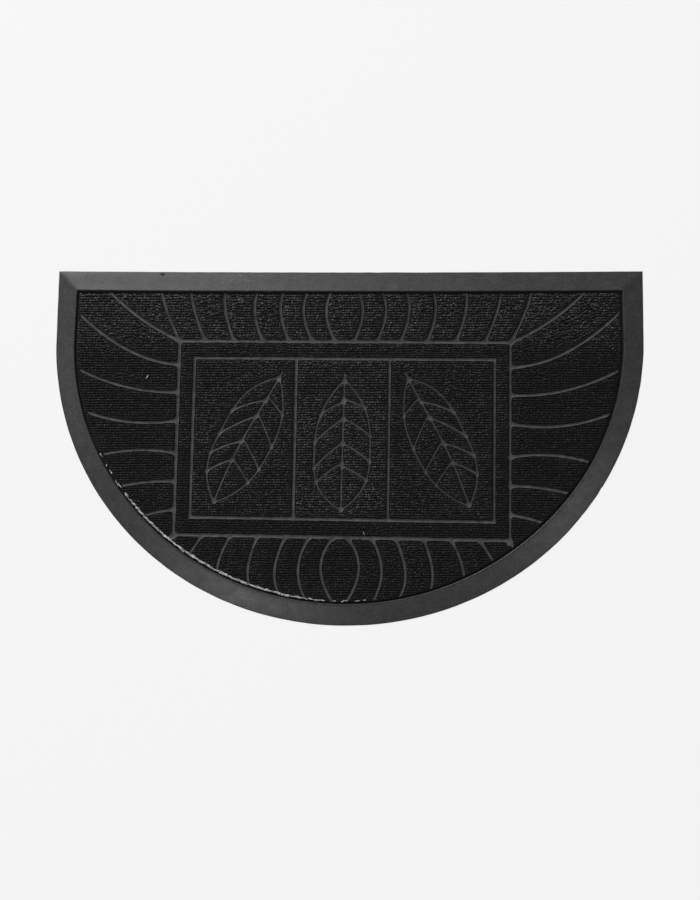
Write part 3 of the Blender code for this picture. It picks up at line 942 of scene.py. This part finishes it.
def row_of_loops(y):
    """One row across the mat: x, y, drop below the loop top, width, thickness and tone of each section."""
    loops = int((field_high[0] - field_low[0]) / np.mean(LOOP_LENGTHS)) + 8
    lengths = rng.uniform(*LOOP_LENGTHS, loops)
    starts = field_low[0] - rng.uniform(0, LOOP_LENGTHS[1]) + np.cumsum(lengths) - lengths[0]
    x = starts[:, None] + lengths[:, None] * section["along"][None, :]
    places = np.stack([x, np.full(x.shape, y)], -1)
    back_fan = 1.0 if y > FRAME_CORNERS["back_left"][1] else 0.0
    unruly = np.clip(smooth_noise(places, 0.022, 51) * 1.5 - 0.25 + 0.6 * back_fan, 0, 1)
    lean = rng.normal(0.0, LEAN_SPREAD, loops)[:, None]
    slant = rng.normal(0.0, SLANT_SPREAD, loops)[:, None] * (section["along"] - 0.4)[None, :]
    arch = rng.normal(ARCH, ARCH_SPREAD, loops)[:, None] * np.sin(math.pi * section["along"])[None, :]
    slant = slant + arch
    across = y + 0.0005 * smooth_noise(places, 0.06, 41) + (lean + slant) * (0.65 + 1.8 * unruly)
    sunk = SUNK_MOST * rng.beta(1.2, 3.0, loops)[:, None]
    drop = section["drop"][None, :] * rng.uniform(0.6, 1.15, loops)[:, None] + sunk
    plump = rng.uniform(0.82, 1.12, loops)[:, None]
    width = plump * section["width"][None, :] * YARN_WIDTH
    thickness = plump * section["thickness"][None, :] * YARN_THICKNESS
    # Tones differ at random from loop to loop, and the brightest loops stand in for glints on the fibres, a
    # painted highlight; sunken loops are painted darker, as painted shade.
    tone = (TONE_LEAST + TONE_SPREAD * rng.beta(1.3, 3.3, loops))[:, None] * section["tone"][None, :]
    tone = tone * (1 - SUNK_SHADE * sunk / SUNK_MOST)
    return np.stack([values.ravel() for values in (x, across, drop, width, thickness, tone)], 1)


def yarn_runs():
    """Each stretch of a row between two pressed lines, as its sections."""
    runs = []
    for number in range(int((field_high[1] - field_low[1]) / ROW_PITCH)):
        row = row_of_loops(field_high[1] - 0.0035 - number * ROW_PITCH)
        keep = sampled(pile_field, row[:, 0], row[:, 1]) > -TUCK
        keep &= (row[:, 0] > field_low[0]) & (row[:, 0] < field_high[0])
        for start in np.nonzero(keep & ~np.roll(keep, 1))[0]:
            end = start
            while end < len(keep) and keep[end]:
                end += 1
            if end - start >= 4:
                runs.append(row[start:end])
    return runs


def yarn_sections(run):
    """Centre, half width, half thickness and tone of each section, moved clear of the pressed lines."""
    x, y, drop, width, thickness, tone = (column.copy() for column in run.T)
    depth = sampled(pile_field, x, y)
    uphill_x, uphill_y = sampled(slope_x, x, y), sampled(slope_y, x, y)
    norm = np.maximum(np.hypot(uphill_x, uphill_y), 0.3)
    squeezed = NEAREST + np.maximum(depth + TUCK, 0) * (SETTLED - NEAREST) / (SETTLED + TUCK)
    wanted = np.where(depth < SETTLED, squeezed, depth)
    x += (wanted - depth) * uphill_x / norm
    y += (wanted - depth) * uphill_y / norm
    near_wall = np.exp(-(wanted - NEAREST) / WALL_ROUND)
    facing = (uphill_x - uphill_y) / norm
    beside_line = np.exp(-np.maximum(wanted - NEAREST, 0) / WALL_REACH)
    z = LOOP_TOP - YARN_THICKNESS - drop - WALL_DROP * near_wall
    z -= FAR_SIDE_DROP * beside_line * np.clip(-facing, 0, 1)
    # Painted light and shade: loops to the right of and in front of a line, whose edges face the light from
    # the back left, are painted lighter; those to its left and behind it are painted darker, and all loops
    # next to a line a little darker.
    tone = tone * np.maximum(1 + beside_line * (FACING_GAIN * facing - WALL_SHADE), 0.15)
    for row in PALE_PATCHES:
        patch = dict(zip(PATCH_COLUMNS, row))
        away = np.hypot(x - patch["x"], y - patch["y"]) / patch["radius"]
        tone = tone * (1 + patch["gain"] * np.exp(-(away**2)))
    for end in (0, len(x) - 1):
        z[end] -= END_DROP
        width[end] *= END_THINNER
        thickness[end] *= END_THINNER
    return np.stack([x, y, np.maximum(z, BACKING_TOP + 0.0002)], 1), width, thickness, tone


def region_of(run):
    """The block of the pattern in which the middle of a run lies."""
    x, y = run[len(run) // 2][:2]
    middle_x = (FRAME_CORNERS["back_left"][0] + FRAME_CORNERS["back_right"][0]) / 2
    left_x, back_y = frame_corners["back_left"]
    right_x = frame_corners["back_right"][0]
    front_y = frame_corners["front_left"][1] - 0.003
    if y > back_y:
        return "pile_back_fan"
    if y < front_y:
        return "pile_front_fan"
    if x < left_x:
        return "pile_left_fan"
    if x > right_x:
        return "pile_right_fan"
    inner = FRAME_HALF_LENGTH - INNER_HALF_LENGTH
    if x < left_x + inner or x > right_x - inner or y > back_y - inner or y < front_y + inner + 0.003:
        return "pile_back_band" if y > 0 else "pile_front_band"
    if x < middle_x - DIVIDER_U:
        return "pile_panel_left"
    if x > middle_x + DIVIDER_U:
        return "pile_panel_right"
    return "pile_panel_middle"


def painted_block_light(name, x, y):
    """How bright a block's yarn is painted, as painted light. Beyond the frame's ends the side fans pass
    softly into the back fan.
    """
    gain = BLOCK_PAINTED_LIGHT[name]
    if name not in ("pile_back_fan", "pile_left_fan", "pile_right_fan"):
        return np.full(x.shape, gain)
    side_gain = np.where(x < 0, BLOCK_PAINTED_LIGHT["pile_left_fan"], BLOCK_PAINTED_LIGHT["pile_right_fan"])
    beyond = np.clip((abs(x) - FRAME_HALF_LENGTH) / CORNER_BLEND[0], 0, 1) if name == "pile_back_fan" else 1.0
    back_y = frame_corners["back_left"][1]
    up = np.clip((y - back_y) / CORNER_BLEND[1] + 0.5, 0, 1)
    up = up * up * (3 - 2 * up)
    return BLOCK_PAINTED_LIGHT["pile_back_fan"] + (side_gain - BLOCK_PAINTED_LIGHT["pile_back_fan"]) * beyond * (1 - up)


def tube(path, width, thickness, sides, turn):
    """A closed tube along a path, with its half width and half thickness at each place."""
    angles = 2 * math.pi * (np.arange(sides) + turn) / sides
    forward = np.gradient(path, axis=0)
    forward /= np.linalg.norm(forward, axis=1)[:, None]
    aside = np.cross(np.array([0.0, 0.0, 1.0]), forward)
    aside /= np.linalg.norm(aside, axis=1)[:, None]
    upward = np.cross(forward, aside)
    around = (
        path[:, None, :]
        + np.cos(angles)[None, :, None] * aside[:, None, :] * width[:, None, None]
        + np.sin(angles)[None, :, None] * upward[:, None, :] * thickness[:, None, None]
    )
    return around.reshape(-1, 3), closed_rings(len(path), sides)


def joined(tubes):
    """Several tubes as one array of verts and one list of faces."""
    verts, faces, first = [], [], 0
    for places, corners in tubes:
        verts.append(places)
        faces += [tuple(first + corner for corner in face) for face in corners]
        first += len(places)
    return np.concatenate(verts), faces


def build_yarn(name, runs, material):
    """All the runs of one block, as closed tubes joined in one mesh."""
    tubes, tones = [], []
    for run in runs:
        centre, width, thickness, tone = yarn_sections(run)
        tubes.append(tube(centre, width, thickness, YARN_SIDES, YARN_TURN))
        tones.append(np.repeat(tone * painted_block_light(name, centre[:, 0], centre[:, 1]), YARN_SIDES))
    piece = add_piece(name, *joined(tubes), material)
    shade = piece.data.attributes.new("yarn_tone", "FLOAT", "POINT")
    shade.data.foreach_set("value", np.concatenate(tones).astype(np.float32))
    return piece


yarn_material, yarn_tree, yarn_shader = new_material("loop_yarn", 0.8, 0.3)
tone_node = yarn_tree.nodes.new("ShaderNodeAttribute")
tone_node.attribute_name = "yarn_tone"
fibre_place = own_place(yarn_tree, (1.0, 3.0, 2.0))
fibre_tone = ramp(yarn_tree, noise(yarn_tree, fibre_place, 0.0016, 3.0, 0.6), (0.3, 0.75), (0.75, 1.25))
worn = ramp(yarn_tree, noise(yarn_tree, own_place(yarn_tree), 0.05, 2.0), (0.3, 0.85), (0.7, 1.15))
yarn_gray = (0.0200, 0.0200, 0.0205, 1.0)
yarn_tone = multiplied(yarn_tree, tone_node.outputs["Color"], fibre_tone, worn, yarn_gray)
yarn_tree.links.new(yarn_tone, yarn_shader.inputs["Base Color"])
strand_noise = noise(yarn_tree, own_place(yarn_tree, (1.0, 2.5, 2.5)), 0.0008, 2.0)
bump(yarn_tree, yarn_shader, strand_noise, 0.6, 0.0003)

blocks = {}
for run in yarn_runs():
    blocks.setdefault(region_of(run), []).append(run)
for name in sorted(blocks):
    piece = build_yarn(name, blocks[name], yarn_material)
    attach(piece, "root")


# Frayed edge: along the front left of the arc the carpet's cut edge shows as short fibre ends that lie along
# the pile's border, coloured pale: a painted highlight where the cut edge catches the light. It is thickest
# at its middle and thins out to single ends.
FRAY_ANGLES = (-156.0, -86.0)
FRAY_FULLEST = (-139.0, -110.0)
FRAY_FADES = (6.0, 11.0)
FRAY_COUNT = 640
FRAY_INSET = 0.0019
FRAY_SPREAD = 0.00055
FRAY_SIDES = 4
FRAY_SHARES = np.array([-1.0, -0.3, 0.4, 1.0])
FRAY_SEED = 11


def strand(path, width):
    """A tube along a short path, thinner at both ends."""
    taper = width * np.sin(math.pi * np.linspace(0.12, 0.88, len(path))) ** 0.5
    return tube(path, taper, 0.8 * taper, FRAY_SIDES, 0.0)


fray_rng = np.random.default_rng(FRAY_SEED)
frayed = []
for number in range(FRAY_COUNT):
    angle = fray_rng.uniform(*FRAY_ANGLES)
    before = max(FRAY_FULLEST[0] - angle, 0.0) / FRAY_FADES[0]
    after = max(angle - FRAY_FULLEST[1], 0.0) / FRAY_FADES[1]
    if fray_rng.uniform() > 0.9 * math.exp(-(before**2) - after**2) + 0.05:
        continue
    turn = fray_rng.uniform(0.5, 1.1) / 2
    inset = FRAY_INSET + fray_rng.normal(0.0, FRAY_SPREAD)
    slant = fray_rng.normal(0.0, 0.00015)
    height = fray_rng.uniform(0.0060, 0.0070)
    further = inset + slant * FRAY_SHARES
    edge_insets = {side: reach + further for side, reach in pile_insets.items()}
    places = centred(leaned(on_arc(np.radians(angle + turn * FRAY_SHARES), edge_insets)))
    path = np.column_stack([places, height - 0.0005 * abs(FRAY_SHARES)])
    frayed.append(strand(path, fray_rng.uniform(0.00050, 0.00095)))

# Pale grays: on the frayed edge a painted highlight, on the lint the threads' own colour.
fray_stops = ((0.35, 0.20), (0.65, 0.55))
fray_material, fray_tree, fray_shader = mottled("pale_fibre_and_edge_highlight", 0.8, 0.3, 0.004, 2.0, *fray_stops)
bump(fray_tree, fray_shader, noise(fray_tree, own_place(fray_tree), 0.0005, 2.0), 0.4, 0.0002)
fray = add_piece("frayed_edge", *joined(frayed), fray_material)
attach(fray, "root")


# Lint: a few pale threads caught in the loops.
LINT_COLUMNS = ("x", "y", "length", "degrees", "half_width")
LINT = (
    (-0.2584, 0.0913, 0.0055, 62.0, 0.0007),
    (0.0176, -0.1082, 0.0042, -70.0, 0.0006),
)
threads = []
for row in LINT:
    thread = dict(zip(LINT_COLUMNS, row))
    turned = math.radians(thread["degrees"])
    way = np.array([math.cos(turned), math.sin(turned)])
    path = []
    for share in (-0.5, -0.2, 0.15, 0.5):
        x, y = np.array([thread["x"], thread["y"]]) + way * share * thread["length"]
        path.append((x, y + 0.0006 * share * share, LOOP_TOP + 0.0003 - 0.001 * share * share))
    threads.append(strand(np.array(path), thread["half_width"]))
lint_piece = add_piece("lint", *joined(threads), fray_material)
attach(lint_piece, "root")
